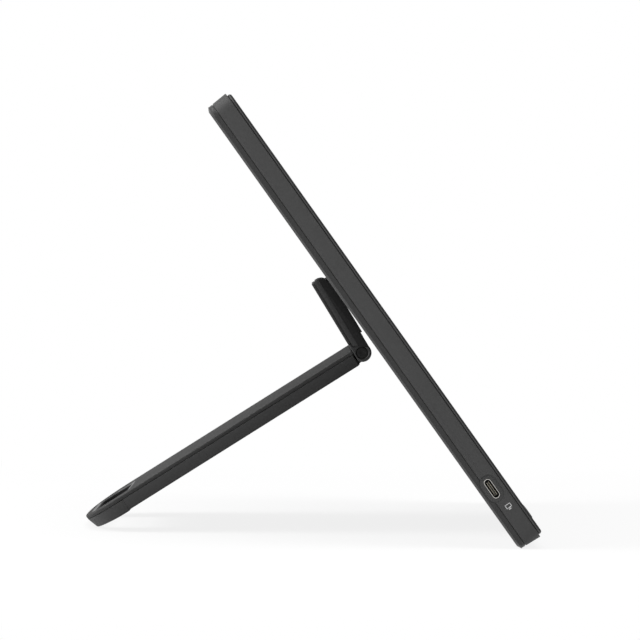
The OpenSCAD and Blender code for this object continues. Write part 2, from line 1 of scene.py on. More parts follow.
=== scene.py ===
# %% [markdown]
# # A portable monitor on its folding stand
# The object is a thin dark monitor that leans back on a two-part stand: a short link plate hinged to its
# back, and a long leg hinged to the link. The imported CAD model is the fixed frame: it says where every
# piece is and how it moves. Its own meshes could be painted as they are, but moulded plastic is known by
# its soft edges, so this lesson rebuilds the pieces that show with those edges and gives each one its
# finish.

# %% Load the frame
import json
import math

import bmesh
import bpy
import numpy as np
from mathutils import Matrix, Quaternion, Vector


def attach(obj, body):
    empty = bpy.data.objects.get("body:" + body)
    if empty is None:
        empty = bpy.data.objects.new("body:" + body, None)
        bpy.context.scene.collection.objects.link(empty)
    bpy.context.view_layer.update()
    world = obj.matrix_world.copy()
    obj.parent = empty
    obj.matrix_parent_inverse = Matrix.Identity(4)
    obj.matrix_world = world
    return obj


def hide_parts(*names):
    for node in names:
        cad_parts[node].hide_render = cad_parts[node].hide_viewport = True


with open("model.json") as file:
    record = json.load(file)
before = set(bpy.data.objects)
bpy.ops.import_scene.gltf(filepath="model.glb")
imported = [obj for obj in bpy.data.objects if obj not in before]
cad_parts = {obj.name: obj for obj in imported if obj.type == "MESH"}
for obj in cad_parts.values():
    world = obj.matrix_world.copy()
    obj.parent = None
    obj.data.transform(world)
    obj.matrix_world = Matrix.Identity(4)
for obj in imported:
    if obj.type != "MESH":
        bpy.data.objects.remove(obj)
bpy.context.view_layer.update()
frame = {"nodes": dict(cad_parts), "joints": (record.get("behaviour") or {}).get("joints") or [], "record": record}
MM = 0.001

# %% [markdown]
# ## Where the pieces lie
# The monitor was designed lying on its back, so its sizes are easiest to read that way: x across, y up
# the screen, z from the rear face to the screen. Objects could be drawn flat and then turned as objects,
# but the finished pieces have to lie at the origin unturned. So a place turns a flat drawing's points
# about the x axis and carries them to where they belong. The record gives the tilt of the back and the
# two hinge points.

# %% Places of the monitor, the link and the leg
record = frame["record"]
joints = {j["name"]: j for j in frame["joints"]}
back_face = record["mounts"][0]
lean = math.atan2(back_face["axis"][1], -back_face["axis"][2])
STOWED = 1.0            # degrees left between the folded link and the rear face
BACK_MARK = 60.0        # y on the rear face of the point that the record gives
link_open = math.radians(STOWED - joints["link_hinge"]["range_deg"][0])
fold = math.pi - math.radians(joints["leg_hinge"]["range_deg"][1])
leg_dip = fold - lean - link_open


class Place:
    """A turn about the x axis, in radians, then a move: local millimetres become metres in the frame."""

    def __init__(self, angle, origin, local=(0.0, 0.0)):
        self.turn = np.array([[1, 0, 0], [0, math.cos(angle), -math.sin(angle)],
                              [0, math.sin(angle), math.cos(angle)]])
        self.shift = np.array(origin) - self.turn @ (np.array([0, *local]) * MM)

    def __call__(self, points):
        return np.asarray(points, float) * MM @ self.turn.T + self.shift


on_monitor = Place(lean, (0, *back_face["pos_m"][1:]), (BACK_MARK, 0))
on_link = Place(lean + link_open, joints["leg_hinge"]["pos_m"])
on_leg = Place(-leg_dip, joints["leg_hinge"]["pos_m"])
for title, angle in (("lean", lean), ("link open", link_open), ("leg dips", leg_dip)):
    print(f"{title}: {math.degrees(angle):.1f} degrees")

# %% [markdown]
# ## Outlines with soft corners
# Moulded plastic has no sharp corner. A bevel modifier could round a box after it is made. Here the
# outline is written as its few corner points, each with a radius, and an arc is put in place of each
# corner, because then every corner has the radius that the real one has. The same function rounds plans
# and side views.

# %% Outline helpers
ARC_STEPS = 6


def rounded(corners, steps=ARC_STEPS):
    """Closed outline from (x, y, radius) corners, counter-clockwise.

    At a corner that turns by an angle t, the arc of radius r starts r*tan(t/2) before the corner and ends as
    far after it. Its centre lies r from both sides, and its points step evenly through t."""
    pts = np.array([c[:2] for c in corners], float)
    out = []
    for i, (x, y, r) in enumerate(corners):
        p = np.array([x, y], float)
        a, b = pts[i - 1] - p, pts[(i + 1) % len(pts)] - p
        a, b = a / np.linalg.norm(a), b / np.linalg.norm(b)
        if r <= 0:
            out.append(p[None])
            continue
        turn = math.atan2(-a[0] * b[1] + a[1] * b[0], -(a @ b))
        start = p + a * r * math.tan(abs(turn) / 2)
        normal = np.array([a[1], -a[0]]) * math.copysign(1, turn)
        centre = start + normal * r
        first = math.atan2(*(start - centre)[::-1])
        angles = first + np.linspace(0, turn, steps + 1)
        out.append(centre + r * np.stack([np.cos(angles), np.sin(angles)], 1))
    return np.concatenate(out)


def box_outline(w, h, r, y0=0.0, x0=None, steps=ARC_STEPS):
    """Rectangle w by h with corners of radius r. Its lower edge is at y0, and it is centred on x = 0 unless
    its left edge x0 is given."""
    x = -w / 2 if x0 is None else x0
    return rounded([(x + w, y0, r), (x + w, y0 + h, r), (x, y0 + h, r), (x, y0, r)], steps)


def arc_points(cx, cy, r, start, end, steps=14):
    """Points (cx + r cos t, cy + r sin t), with t from start to end in degrees."""
    t = np.radians(np.linspace(start, end, steps + 1))
    return np.stack([cx + r * np.cos(t), cy + r * np.sin(t)], 1)


def circle(r, x=0.0, y=0.0, count=40):
    """Circle of radius r round (x, y)."""
    t = np.linspace(0, 2 * np.pi, count, endpoint=False)
    return np.stack([x + r * np.cos(t), y + r * np.sin(t)], 1)


def stadium(w, h, x=0.0, y=0.0, steps=16):
    """Two half circles of diameter h joined by straight sides, w long in all."""
    t = np.linspace(-np.pi / 2, np.pi / 2, steps + 1)
    right = np.stack([np.cos(t), np.sin(t)], 1) * h / 2 + [(w - h) / 2, 0]
    return np.concatenate([right, -right]) + [x, y]


def normals_of(outline):
    """Outward normal at each point: the mean of its two sides' normals, lengthened so that an offset by d
    moves both sides by d."""
    ahead = np.roll(outline, -1, 0) - outline
    side = np.stack([ahead[:, 1], -ahead[:, 0]], 1)
    side /= np.maximum(np.linalg.norm(side, axis=1, keepdims=True), 1e-9)
    mean = side + np.roll(side, 1, 0)
    mean /= np.linalg.norm(mean, axis=1, keepdims=True)
    return mean / np.maximum((mean * side).sum(1, keepdims=True), 0.5)


def soft_line(points, radius, steps=3):
    """An open line of [inset, height] points whose inner corners are rounded: between the points a and b,
    which lie radius before and after a corner p, it runs along (1 - t)^2 a + 2 t (1 - t) p + t^2 b."""
    pts = np.array(points, float)
    rows = [pts[:1]]
    t = np.linspace(0, 1, steps + 1)[:, None]
    for before, p, after in zip(pts[:-2], pts[1:-1], pts[2:]):
        a, b = before - p, after - p
        cut_a, cut_b = (min(radius, np.linalg.norm(v) * 0.45) for v in (a, b))
        a, b = p + a / np.linalg.norm(a) * cut_a, p + b / np.linalg.norm(b) * cut_b
        rows.append((1 - t) ** 2 * a + 2 * t * (1 - t) * p + t ** 2 * b)
    rows.append(pts[-1:])
    return np.concatenate(rows)


print("a box with round corners has", len(box_outline(10, 6, 1)), "points")

# %% [markdown]
# ## Solids from an outline and an edge
# Nearly every piece here is a plate: an outline swept through its thickness, with an edge that follows a
# small profile. It could be a cube with modifiers, but a grid of points says more plainly what the edge
# looks like: one direction runs round the outline, the other up the edge profile. Two flat faces close
# it. Where the plate has a hole, a cutter made the same way is taken out of it.

# %% Mesh helpers
MERGE = 2e-6            # points nearer than this many metres become one
FAR, FAR_MERGE = 2.0, 2e-3      # metres; a mesh that starts further out belongs to the set and merges more
SMOOTH = 35.0           # degrees; a sharper edge than this is shaded as an edge


def tidy(mesh):
    """Merges doubled points, turns all faces outwards and shades smooth each edge that bends less than
    SMOOTH."""
    work = bmesh.new()
    work.from_mesh(mesh)
    near = mesh.vertices[0].co.length < FAR
    bmesh.ops.remove_doubles(work, verts=work.verts, dist=MERGE if near else FAR_MERGE)
    bmesh.ops.recalc_face_normals(work, faces=work.faces)
    work.to_mesh(mesh)
    work.free()
    mesh.shade_smooth()
    mesh.set_sharp_from_angle(angle=math.radians(SMOOTH))


def new_object(name, points, faces):
    """A mesh object at the origin, with its faces turned outwards."""
    mesh = bpy.data.meshes.new(name)
    mesh.from_pydata(np.asarray(points).tolist(), [], faces)
    tidy(mesh)
    obj = bpy.data.objects.new(name, mesh)
    bpy.context.scene.collection.objects.link(obj)
    return obj


def ring_faces(rows, count, closed_rows=False):
    """Quads between neighbouring rows of a grid whose rows are closed loops of count points. With closed_rows
    the last row joins the first."""
    r = np.arange(rows if closed_rows else rows - 1)[:, None]
    c = np.arange(count)[None]
    up, right = (r + 1) % rows, (c + 1) % count
    quads = np.stack([r * count + c, r * count + right, up * count + right, up * count + c], -1)
    return quads.reshape(-1, 4).tolist()


def solid_faces(rows, count):
    """The quads of ring_faces and a flat face over the first and the last row."""
    last = (rows - 1) * count
    return ring_faces(rows, count) + [list(range(count))[::-1], list(range(last, last + count))]


LAY = {"flat": (0, 1, 2), "side": (2, 0, 1)}


def swept(outline, rows, lay):
    """Grid of points, one row of the outline for each [inset, height] of rows: outline - inset * outward
    normal, at that height. LAY says where the outline's two directions and the height go: "flat" is a plan
    (x, y, height z) and "side" a side view (y, z, height x)."""
    flat = outline[None] - rows[:, 0][:, None, None] * normals_of(outline)[None]
    height = np.broadcast_to(rows[:, 1][:, None, None], flat.shape[:2] + (1,))
    return np.concatenate([flat, height], -1)[..., LAY[lay]].reshape(-1, 3)


def plate(name, outline, profile, place, lay="flat"):
    """Solid whose edge follows profile, rows of [inset, height], round outline. Two flat faces close it."""
    return new_object(name, place(swept(outline, profile, lay)), solid_faces(len(profile), len(outline)))


def tube(name, outline, loop, place, lay="flat"):
    """Closed ring: loop is a closed line of [inset, height] rows, swept round outline."""
    return new_object(name, place(swept(outline, loop, lay)), ring_faces(len(loop), len(outline), True))


def carve(obj, cuts=(), adds=(), keep=()):
    """Exact booleans on obj: first adds are united with it, then only what lies in keep stays, then cuts are
    taken out. The helper objects are deleted."""
    steps = [("UNION", other) for other in adds]
    steps += [("INTERSECT", other) for other in keep]
    steps += [("DIFFERENCE", other) for other in cuts]
    for operation, other in steps:
        step = obj.modifiers.new("step", "BOOLEAN")
        step.operation, step.solver, step.object = operation, "EXACT", other
    bpy.context.view_layer.update()
    result = bpy.data.meshes.new_from_object(obj.evaluated_get(bpy.context.evaluated_depsgraph_get()))
    obj.modifiers.clear()
    obj.data = result
    tidy(result)
    for _, other in steps:
        bpy.data.objects.remove(other)
    return obj


def arrays(obj):
    """Points and faces of a mesh object, which is then deleted."""
    co = np.zeros(len(obj.data.vertices) * 3)
    obj.data.vertices.foreach_get("co", co)
    faces = [list(p.vertices) for p in obj.data.polygons]
    bpy.data.objects.remove(obj)
    return co.reshape(-1, 3), faces


def joined(name, parts):
    """One object from several, for a piece that is made of loose solids."""
    points, faces, start = [], [], 0
    for part in parts:
        co, part_faces = arrays(part)
        points.append(co)
        faces += [[v + start for v in face] for face in part_faces]
        start += len(co)
    return new_object(name, np.concatenate(points), faces)


print("a plate with 3 rows of 4 points has", len(solid_faces(3, 4)), "faces")

# %% [markdown]
# ## Finishes
# The object is dark plastic of several shades, some rubber and a little metal. A flat colour would look
# like paint on paper, and an image texture would need unwrapped meshes, so each finish is a small node
# tree. A colour is given as it should look on screen and turned into linear light. Moulded plastic gets a
# fine grain: noise moves the colour a little and raises the surface a few microns. All noise is read in
# object coordinates, so the grain is the same size on every piece.

# %% Material helpers
def linear(grey):
    """Linear light of an 8-bit sRGB value v: ((v / 255 + 0.055) / 1.055) ** 2.4, or v / 255 / 12.92 when
    dark."""
    v = grey / 255
    return v / 12.92 if v <= 0.04045 else ((v + 0.055) / 1.055) ** 2.4


def node(tree, kind, **inputs):
    """A shader node with its inputs set; a value that is a socket is linked, any other is a default."""
    made = tree.nodes.new(kind)
    for key, value in inputs.items():
        socket = made.inputs[key.replace("_", " ")]
        if isinstance(value, bpy.types.NodeSocket):
            tree.links.new(value, socket)
        else:
            socket.default_value = value
    return made


def finish(name, colour, rough=0.5, metal=0.0, grain=0.4, spread=0.06, raise_mm=0.01, mottle=0.03,
           cloud=9.0, specular=0.5, **more):
    """Principled material: colour * (1 + spread * fine noise + mottle * cloudy noise), with a bump of the
    fine noise. grain and cloud are the sizes of the two noises in millimetres."""
    mat = bpy.data.materials.new(name)
    mat.use_nodes = True
    tree = mat.node_tree
    tree.nodes.clear()
    rgb = [linear(c) for c in (colour if hasattr(colour, "__len__") else (colour,) * 3)]
    place = node(tree, "ShaderNodeTexCoord").outputs["Object"]
    fine = node(tree, "ShaderNodeTexNoise", Vector=place, Scale=1 / (grain * MM), Detail=3.0, Roughness=0.6)
    broad = node(tree, "ShaderNodeTexNoise", Vector=place, Scale=1 / (cloud * MM), Detail=2.0, Roughness=0.5)
    shade = []
    for noise, share in ((fine, spread), (broad, mottle)):
        part = node(tree, "ShaderNodeMapRange", Value=noise.outputs["Fac"], From_Min=0.3, From_Max=0.7,
                    To_Min=1 - share, To_Max=1 + share)
        part.clamp = False
        shade.append(part.outputs["Result"])
    gain = node(tree, "ShaderNodeMath")
    gain.operation = "MULTIPLY"
    tree.links.new(shade[0], gain.inputs[0])
    tree.links.new(shade[1], gain.inputs[1])
    tint = node(tree, "ShaderNodeVectorMath")
    tint.operation = "SCALE"
    tint.inputs[0].default_value = rgb
    tree.links.new(gain.outputs[0], tint.inputs["Scale"])
    bump = node(tree, "ShaderNodeBump", Height=fine.outputs["Fac"], Strength=1.0, Distance=raise_mm * MM)
    gloss = node(tree, "ShaderNodeMapRange", Value=broad.outputs["Fac"], From_Min=0.3, From_Max=0.7,
                 To_Min=max(rough - 0.02, 0.02), To_Max=min(rough + 0.02, 1.0))
    shader = node(tree, "ShaderNodeBsdfPrincipled", Base_Color=tint.outputs["Vector"], Metallic=metal,
                  Roughness=gloss.outputs["Result"], Normal=bump.outputs["Normal"], **more)
    shader.inputs["Specular IOR Level"].default_value = specular
    out = node(tree, "ShaderNodeOutputMaterial", Surface=shader.outputs["BSDF"])
    out.name = "out"
    return mat


# %% Finishes
case_plastic = finish("case_plastic", 57, rough=0.55, specular=0.3)
rear_plastic = finish("rear_plastic", 40, rough=0.38, specular=0.36)
bezel_plastic = finish("bezel_plastic", 36, rough=0.6, specular=0.2, grain=0.3)
band_plastic = finish("band_plastic", 74, rough=0.5, specular=0.35, grain=0.3)
link_plastic = finish("link_plastic", 46, rough=0.5, specular=0.35)
# Painted shade: the link's core is painted darker than its rails, for the shadow that the monitor casts on it.
link_painted_shade = finish("link_painted_shade", 25, rough=0.6, specular=0.2)
# Painted highlight: the slot trim is the leg cover's plastic painted lighter, to brighten the bevel round the
# slot.
trim_painted_highlight = finish("trim_painted_highlight", 58, rough=0.45, specular=0.4)
# Painted shade: a near-black sheet put inside the finger slot, where there is only shade.
slot_painted_shade = finish("slot_painted_shade", 24, rough=0.7, specular=0.15)
leg_plastic = finish("leg_plastic", 44, rough=0.55, specular=0.3)
leg_top_plastic = finish("leg_top_plastic", 52, rough=0.8, specular=0.12)
nose_rubber = finish("nose_rubber", 51, rough=0.7, specular=0.25, grain=0.25)
pad_rubber = finish("pad_rubber", 30, rough=0.85, specular=0.15, grain=0.25)
cap_plastic = finish("cap_plastic", 22, rough=0.5, specular=0.2, raise_mm=0.003)
button_plastic = finish("button_plastic", 44, rough=0.45, specular=0.4, grain=0.3)
mark_print = finish("mark_print", 196, rough=0.6, raise_mm=0.002)
nickel = finish("nickel", (184, 182, 178), rough=0.3, metal=1.0, raise_mm=0.002, grain=0.15)
gold = finish("gold", (196, 188, 168), rough=0.45, metal=1.0, raise_mm=0.002, grain=0.15)
# Dark plastic of the ports' tongues; the ports' metal sleeves get it too, as painted shade deep inside the port.
tongue_plastic_and_port_shade = finish("tongue_plastic_and_port_shade", 24, rough=0.5, raise_mm=0.003)
black_steel = finish("black_steel", 58, rough=0.38, metal=0.8, raise_mm=0.003, grain=0.2)
bright_steel = finish("bright_steel", (176, 177, 180), rough=0.3, metal=1.0, raise_mm=0.003, grain=0.2)
sheet_metal = finish("sheet_metal", (186, 188, 190), rough=0.34, metal=1.0, raise_mm=0.004)
zinc = finish("zinc", (38, 38, 40), rough=0.55, metal=0.4, raise_mm=0.006)
board_green = finish("board_green", (22, 78, 52), rough=0.4, spread=0.12, cloud=4.0, mottle=0.1)
chip_black = finish("chip_black", (32, 32, 34), rough=0.55)
flex_amber = finish("flex_amber", (178, 112, 34), rough=0.4, spread=0.08)
film_white = finish("film_white", (236, 237, 240), rough=0.45, spread=0.02, mottle=0.02)
led_cream = finish("led_cream", (240, 232, 186), rough=0.5, spread=0.03)
guide_clear = finish("guide_clear", (214, 230, 236), rough=0.15, spread=0.02, mottle=0.02)
screen_dark = finish("screen_dark", (17, 18, 20), rough=0.32, grain=0.12, spread=0.1, raise_mm=0.003,
                     mottle=0.02)
print("finishes:", len(bpy.data.materials))

# %% Dressing a piece
BIG_FACE = 0.003        # square metres


def dress(obj, body, slot, mat, *nodes):
    """Gives a finished piece its material and its body, and hides the CAD nodes that it stands for. The slot is
    not used. Its widest faces are shaded flat, so that the soft edges don't bend the light across them."""
    for face in obj.data.polygons:
        face.use_smooth = face.area < BIG_FACE
    obj.data.materials.clear()
    obj.data.materials.append(mat)
    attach(obj, body)
    if nodes:
        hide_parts(*nodes)
    print(f"{obj.name}: {len(obj.data.polygons)} faces, rides on {body}")
    return obj


# %% [markdown]
# ## The casing's sizes and edge shapes
# The casing is three moulded shells. The rear panel is a shallow tray with a chamfered edge, the middle
# frame is a ring with a little draft, and the front bezel is set in from both. One block with grooves
# painted on would look the same from afar, but real gaps catch the shadow that makes a seam. Each shell
# has its own edge profile, a short line of [inset, height] points in millimetres. The helpers make the
# two kinds of edge that come back.

# %% Casing sizes and edge rows
CASE_W, CASE_H, CASE_T, CASE_R, WALL = 356.0, 219.9, 11.65, 6.0, 2.6
REAR_WALL, CAVITY_R = 1.6, 3.8
SEAM_Z, RING_Z, BEZEL_Z = 3.0, 3.01, 10.0
FRONT_END = 9.98        # the middle frame's front edge
GLASS = (347.4, 196.8, 18.7)
VIEW = (344.2, 193.6, 20.3)
POCKET, POCKET_DEPTH = (155.0, 46.2, 95.75), 0.9
PORT_Y, PORT_Z = 27.5, 5.15
RECESS, PORT_HOLE, BOSS_ROOM = (12.3, 7.0), (9.14, 3.36), (12.5, 7.2)
RECESS_FLOOR, SIDE_FACE = 177.3, 177.71
PAST = 179.0            # cutters end here, outside the casing


def opening(deep, face, edge, past=1.0, steps=4):
    """Edge rows of a cutter that reaches from deep to face, where it widens by a quarter round: insets
    -edge (1 - cos t) and heights edge (1 - sin t) short of the face."""
    way = math.copysign(1, face - deep)
    t = np.linspace(0, np.pi / 2, steps + 1)
    mouth = np.stack([-edge * (1 - np.cos(t)), face - way * edge * (1 - np.sin(t))], 1)
    return np.concatenate([[[0, deep]], mouth, [[-edge, face + way * past]]])


def ends(low, high, soft_low=0.0, soft_high=0.0, steps=3):
    """Edge rows from low to high. Each end has a quarter round of its own radius r, with insets
    r (1 - sin t) and heights r (1 - cos t) from the end."""
    t = np.linspace(0, np.pi / 2, steps + 1)
    rows = []
    if soft_low:
        rows.append(np.stack([soft_low * (1 - np.sin(t)), low + soft_low * (1 - np.cos(t))], 1))
    else:
        rows.append([[0, low]])
    if soft_high:
        rows.append(np.stack([soft_high * (1 - np.cos(t)), high - soft_high * (1 - np.sin(t))], 1))
    else:
        rows.append([[0, high]])
    return np.concatenate(rows)


def port_cutter(shape, rows, side):
    """Cutter or boss with a stadium shape on the side wall at the port's place."""
    return plate("cut", stadium(*shape, PORT_Y, PORT_Z), rows * [1, side], on_monitor, "side")


case_outline = box_outline(CASE_W, CASE_H, CASE_R)
print(f"casing {CASE_W} x {CASE_H} x {CASE_T} mm")

# %% [markdown]
# ## The rear panel
# The rear panel is a tray whose edge slopes in towards the back, so the monitor looks thinner than it is.
# A bevel would give the slope, but not the small lip beside the seam, so the whole edge is one profile.
# The tray is hollow, and a shallow pocket in its back takes the folded link.

# %% Rear panel
REAR_EDGE = [(2.9, 0), (2.3, 0), (0.4, 1.0), (0.62, 1.25), (0.5, 2.65), (0.78, SEAM_Z)]
BOSS_FROM = 174.4

rear = plate("rear_shell", case_outline, soft_line(REAR_EDGE, 0.2), on_monitor)
cavity = box_outline(CASE_W - 2 * WALL, CASE_H - 2 * WALL, CAVITY_R, WALL)
pocket = box_outline(POCKET[0], POCKET[1], 2, POCKET[2])
cuts = [plate("cut", cavity, ends(REAR_WALL, SEAM_Z + 1), on_monitor),
        plate("cut", pocket, opening(POCKET_DEPTH, 0, 0.4), on_monitor)]
cuts += [port_cutter(BOSS_ROOM, ends(BOSS_FROM, PAST), side) for side in (1, -1)]
dress(carve(rear, cuts), "monitor", "case_plastic", rear_plastic, "rear_panel")

# %% [markdown]
# ## The middle frame
# The middle frame is the band seen from the side. It leans in by 0.4 mm towards the back, as a moulding
# must to leave its mould. Its edge profile is a closed loop, so it comes out as a ring. A ledge inside
# carries the screen. At each side a solid boss holds the port, with a shallow recess for the plug's grip.

# %% Middle frame
RING_EDGE = [(WALL, RING_Z), (0.78, RING_Z), (0.42, 3.38), (0, 9.7), (0.12, FRONT_END), (WALL, FRONT_END)]
LEDGE, LEDGE_Z = (351.8, 215.7, 2.1), (5.85, 6.85)
LEDGE_VIEW = (340.2, 189.6, 22.3)
RIB = (351.8, 1.2, 16.6)
BOSS = (175.3, 177.48)
HOLE_FROM = 169.3

ring = tube("middle_ring", case_outline, soft_line(RING_EDGE, 0.15), on_monitor)
ledge = plate("ledge", box_outline(LEDGE[0], LEDGE[1], CAVITY_R, LEDGE[2]), ends(*LEDGE_Z), on_monitor)
window = box_outline(LEDGE_VIEW[0], LEDGE_VIEW[1], 3, LEDGE_VIEW[2])
carve(ledge, [plate("cut", window, ends(4, 8), on_monitor)])
adds = [ledge, plate("rib", box_outline(RIB[0], RIB[1], 0.1, RIB[2]), ends(5.9, 9.9), on_monitor)]
cuts = []
for side in (1, -1):
    adds.append(port_cutter(RECESS, ends(*BOSS), side))
    cuts.append(port_cutter(RECESS, opening(RECESS_FLOOR, SIDE_FACE, 0.14), side))
    cuts.append(port_cutter(PORT_HOLE, ends(HOLE_FROM, PAST), side))
dress(carve(ring, cuts, adds), "monitor", "case_plastic", case_plastic, "main_frame")

# %% [markdown]
# ## The bezel and the screen
# The bezel frames the screen and stands back from the middle frame, with a quarter-round edge. A lighter
# band runs round its side. The band is its own thin ring in a groove, because a painted stripe would have
# no shadow beside it. The screen is one sheet of dark glass under the bezel, and round holes let the
# buttons through.

# %% Bezel and screen
BAND = (10.34, 10.9)
EDGE_R, EDGE_IN, EDGE_Z = 1.0, 2.11, CASE_T - 1.01
BUTTONS = {"power": -165.5, "minus": -153.5, "plus": -141.5}
BUTTON_Y, BUTTON_R, BUTTON_GAP = 10.3, 2.6, 0.1
GLASS_Z = (8.9, FRONT_END)

t = np.linspace(math.asin((BAND[1] - EDGE_Z) / EDGE_R), np.pi / 2, 6)
bezel_edge = np.concatenate([[[1.16, BEZEL_Z], [1.16, BAND[0]], [1.4, BAND[0]], [1.4, BAND[1]]],
                             np.stack([EDGE_IN - EDGE_R * np.cos(t), EDGE_Z + EDGE_R * np.sin(t)], 1)])
bezel = plate("bezel", case_outline, bezel_edge, on_monitor)
cuts = [plate("cut", box_outline(VIEW[0], VIEW[1], 0.6, VIEW[2]), opening(8.5, CASE_T, 0.5), on_monitor)]
cuts += [plate("cut", circle(BUTTON_R + BUTTON_GAP, x, BUTTON_Y), opening(8.5, CASE_T, 0.2), on_monitor)
         for x in BUTTONS.values()]
dress(carve(bezel, cuts), "monitor", "bezel_plastic", bezel_plastic, "front_bezel")

low, high = BAND[0] + 0.02, BAND[1] - 0.02
band = tube("bezel_band", case_outline, soft_line([(1.5, low), (1.04, low), (1.04, high), (1.5, high)], 0.12),
            on_monitor)
dress(band, "monitor", "bezel_plastic", band_plastic, "front_bezel")

screen = plate("screen", box_outline(GLASS[0], GLASS[1], 0.8, GLASS[2]), ends(*GLASS_Z, 0.1, 0.1), on_monitor)
dress(screen, "monitor", "screen_glass", screen_dark, "screen_glass")

# %% [markdown]
# ## Ports and the mark beside them
# Each side has one stadium-shaped port at the bottom of a shallow recess. The real one is a thin rolled
# metal shell with a contact tongue in the middle. Only its rim shines, and deeper in it lies in shade. So
# the shell is made in two rings: a bright rim, and a sleeve with a back that gets the tongue's dark plastic
# as painted shade. Rows of small contacts lie on the tongue.

# %% Ports
SHELL, SHELL_WALL, SHELL_END, SHELL_DEPTH = (8.94, 3.16), 0.3, 177.45, 7.3
RIM, BACK = 0.9, 6.3
TONGUE, TONGUE_END = (6.7, 0.7), 0.99
CONTACTS, PITCH, CONTACT, CONTACT_Z = 12, 0.52, (0.3, 0.2), 0.42


def contact_rows(side):
    """CONTACTS pads on each face of the tongue: pad i lies at (i - (n - 1) / 2) * PITCH from the middle."""
    pads = []
    for i in range(CONTACTS):
        y = PORT_Y + (i - (CONTACTS - 1) / 2) * PITCH
        for face in (1, -1):
            pad = box_outline(*CONTACT, 0.01, PORT_Z - CONTACT[1] / 2 + face * CONTACT_Z) + [y, 0]
            rows = ends(SHELL_END - 4.5, SHELL_END - 1.2) * [1, side]
            pads.append(plate("pad", pad, rows, on_monitor, "side"))
    return pads


shell_plan = stadium(*SHELL, PORT_Y, PORT_Z)
tongue_plan = box_outline(*TONGUE, 0.2, PORT_Z - TONGUE[1] / 2) + [PORT_Y, 0]
for side, name in ((1, "right"), (-1, "left")):
    front, lip, back = SHELL_END, SHELL_END - RIM, SHELL_END - BACK
    loop = [(SHELL_WALL, lip), (0, lip), (0, front), (SHELL_WALL, front), (SHELL_WALL, lip)]
    loop = soft_line(loop, 0.12)[:-1] * [1, side]
    rim = tube(f"port_{name}", shell_plan, loop, on_monitor, "side")
    dress(rim, "monitor", "port_metal", nickel, f"port_shell_{name}")
    loop = np.array([(SHELL_WALL, back), (0, back), (0, lip), (SHELL_WALL, lip)])
    sleeve = tube("sleeve", shell_plan, loop * [1, side], on_monitor, "side")
    wall = plate("back", shell_plan, ends(front - SHELL_DEPTH, back) * [1, side], on_monitor, "side")
    sleeve = joined(f"sleeve_{name}", [sleeve, wall])
    # The sleeve is metal, painted with the tongue's dark plastic as painted shade deep inside the port.
    dress(sleeve, "monitor", "port_metal", tongue_plastic_and_port_shade, f"port_shell_{name}")
    tongue = plate(f"tongue_{name}", tongue_plan, ends(back + 0.01, front - TONGUE_END, 0, 0.15) * [1, side],
                   on_monitor, "side")
    dress(tongue, "monitor", "cap_plastic", tongue_plastic_and_port_shade, f"port_tongue_{name}")
    dress(joined(f"contacts_{name}", contact_rows(side)), "monitor", "port_metal", gold)

# %% [markdown]
# ## The printed mark
# Beside each port is a small pale print: a screen on its foot, which says what the port is for. Paint in
# the wall's own material would need a drawn mask. A print on real plastic has a little thickness, so the
# mark is a thin solid that follows the slope of the wall.

# %% Printed mark
PRINT_T, PRINT_IN = 0.03, 0.02
MARK_Y, MARK_Z = 17.7, 6.57


def printed(name, shapes, place, face):
    """Thin print on a side wall. shapes are pairs of an outline and a hole or None, on y and z. The print
    reaches from PRINT_IN inside the wall, whose x is given at each point by face(), to PRINT_T further
    out."""
    parts = []
    for shape, hole in shapes:
        flat = shape if hole is None else np.concatenate([shape, hole])
        x = face(flat)
        out = np.sign(x)
        points = np.concatenate([np.column_stack([x - out * PRINT_IN, flat]),
                                 np.column_stack([x + out * (PRINT_T - PRINT_IN), flat])])
        count, n = len(shape), len(flat)
        i = np.arange(count)
        j = (i + 1) % count
        faces = np.column_stack([i, j, j + n, i + n]).tolist()
        if hole is None:
            faces += [list(range(count))[::-1], list(range(n, n + count))]
        else:
            faces += np.column_stack([i + count, i + count + n, j + count + n, j + count]).tolist()
            faces += np.column_stack([i, i + count, j + count, j]).tolist()
            faces += np.column_stack([i + n, j + n, j + count + n, i + count + n]).tolist()
        parts.append(new_object("print", place(points), faces))
    return joined(name, parts)


def side_wall(side):
    """x of the middle frame's side wall at height z: 178 less the draft, 0.4 over the 6.2 below z = 9.7."""
    return lambda flat: side * (CASE_W / 2 - 0.4 * (9.7 - flat[:, 1]) / 6.2)


for side, name in ((1, "right"), (-1, "left")):
    picture = (box_outline(1.7, 2.5, 0.25, MARK_Z - 1.25) + [MARK_Y + 0.35, 0],
               box_outline(1.2, 2.0, 0.1, MARK_Z - 1.0) + [MARK_Y + 0.35, 0])
    post = box_outline(0.5, 0.4, 0.02, MARK_Z - 0.2) + [MARK_Y - 0.7, 0]
    foot = box_outline(0.3, 1.4, 0.05, MARK_Z - 0.7) + [MARK_Y - 1.05, 0]
    mark = printed(f"mark_{name}", [picture, (post, None), (foot, None)], on_monitor, side_wall(side))
    dress(mark, "monitor", "button_plastic", mark_print)

# %% [markdown]
# ## Buttons
# Three round caps stand a little proud of the bezel. Each could be a cylinder with a bevel, but the real
# cap has a stem over the switch, a skirt that the bezel holds back, and a shallow dish on top. So it is a
# turned shape, with all of that in one edge profile. A small raised sign on top tells them apart.

# %% Buttons
CAP_EDGE = np.concatenate([[[1.4, 9.2], [1.4, 9.45], [-0.6, 9.45], [-0.6, 9.97], [0, 9.97]],
                           ends(10.05, 11.95, 0, 0.35)[1:], [[0.8, 11.94], [1.6, 11.89]]])
SIGN_Z = (11.86, 11.905)


def sign_shapes(name):
    """Outlines of a button's sign round its middle: a bar, two crossed bars, or an open ring with a bar."""
    bar = box_outline(1.4, 0.28, 0.1, -0.14)
    if name == "minus":
        return [bar]
    if name == "plus":
        return [bar, box_outline(0.28, 1.4, 0.1, -0.7)]
    ring = np.concatenate([arc_points(0, 0, 0.78, 125, 415, 29), arc_points(0, 0, 0.52, 125, 415, 29)[::-1]])
    return [box_outline(0.26, 0.8, 0.1, 0.25), ring]


